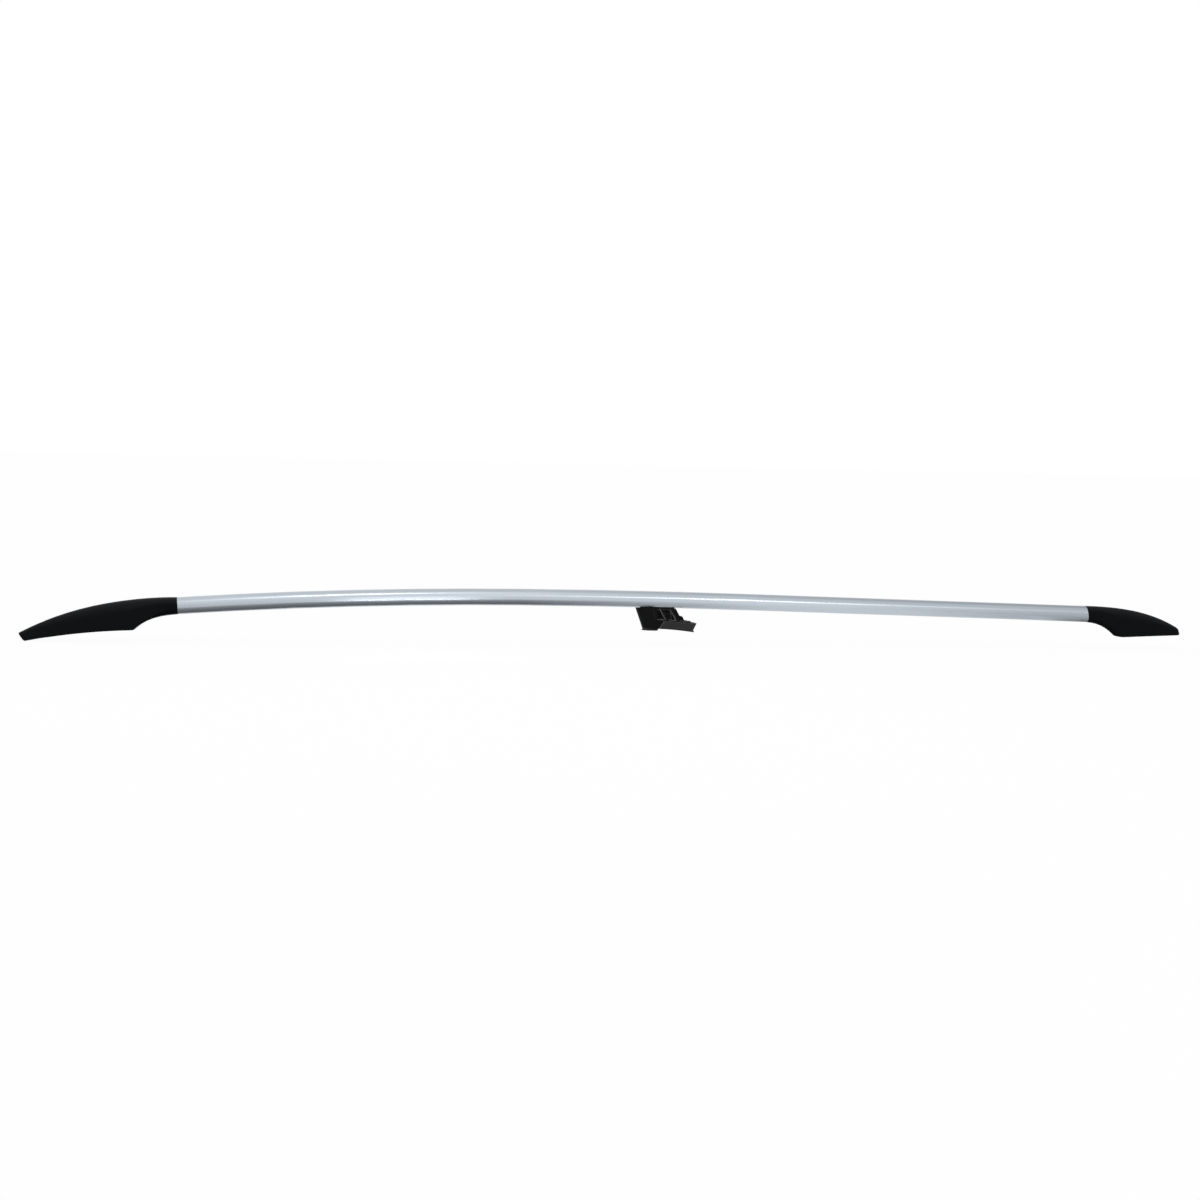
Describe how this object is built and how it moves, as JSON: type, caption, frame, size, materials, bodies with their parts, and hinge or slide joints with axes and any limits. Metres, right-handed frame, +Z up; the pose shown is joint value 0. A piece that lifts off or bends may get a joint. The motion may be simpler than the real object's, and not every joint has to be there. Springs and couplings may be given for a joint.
{
  "type": "roof rail",
  "caption": "Bowed silver car roof rail with a moulded black cover at each end and a ribbed black foot under the middle.",
  "frame": {"origin": "seat of the centre roof bolt, under the middle foot", "axes": "+X along the rail towards the rear of the car, +Y across it, +Z up"},
  "size_m": [2.0769, 0.045, 0.0964],
  "materials": {
    "tube": "satin anodised",
    "cover": "matt, fine grain",
    "casting": "as cast",
    "rubber": "matt",
    "zinc": "zinc plated",
    "foot_plastic": "satin",
    "shoe_plastic": "satin"
  },
  "bodies": {
    "root": {"rail_tube": "tube", "front_cover": "cover", "rear_cover": "cover", "front_bracket": "casting", "rear_bracket": "casting", "front_joint_seal": "rubber", "rear_joint_seal": "rubber", "front_gasket": "rubber", "rear_gasket": "rubber", "front_inserts": "zinc", "rear_inserts": "zinc", "front_tube_screws": "zinc", "rear_tube_screws": "zinc", "front_cover_screw": "zinc", "rear_cover_screw": "zinc", "centre_support": "foot_plastic", "centre_shoe": "shoe_plastic", "centre_gasket": "rubber", "centre_insert": "zinc", "tube_liner": "rubber", "rivet_nuts": "zinc", "centre_screws": "zinc", "shoe_screws": "zinc"}
  },
  "joints": []
}
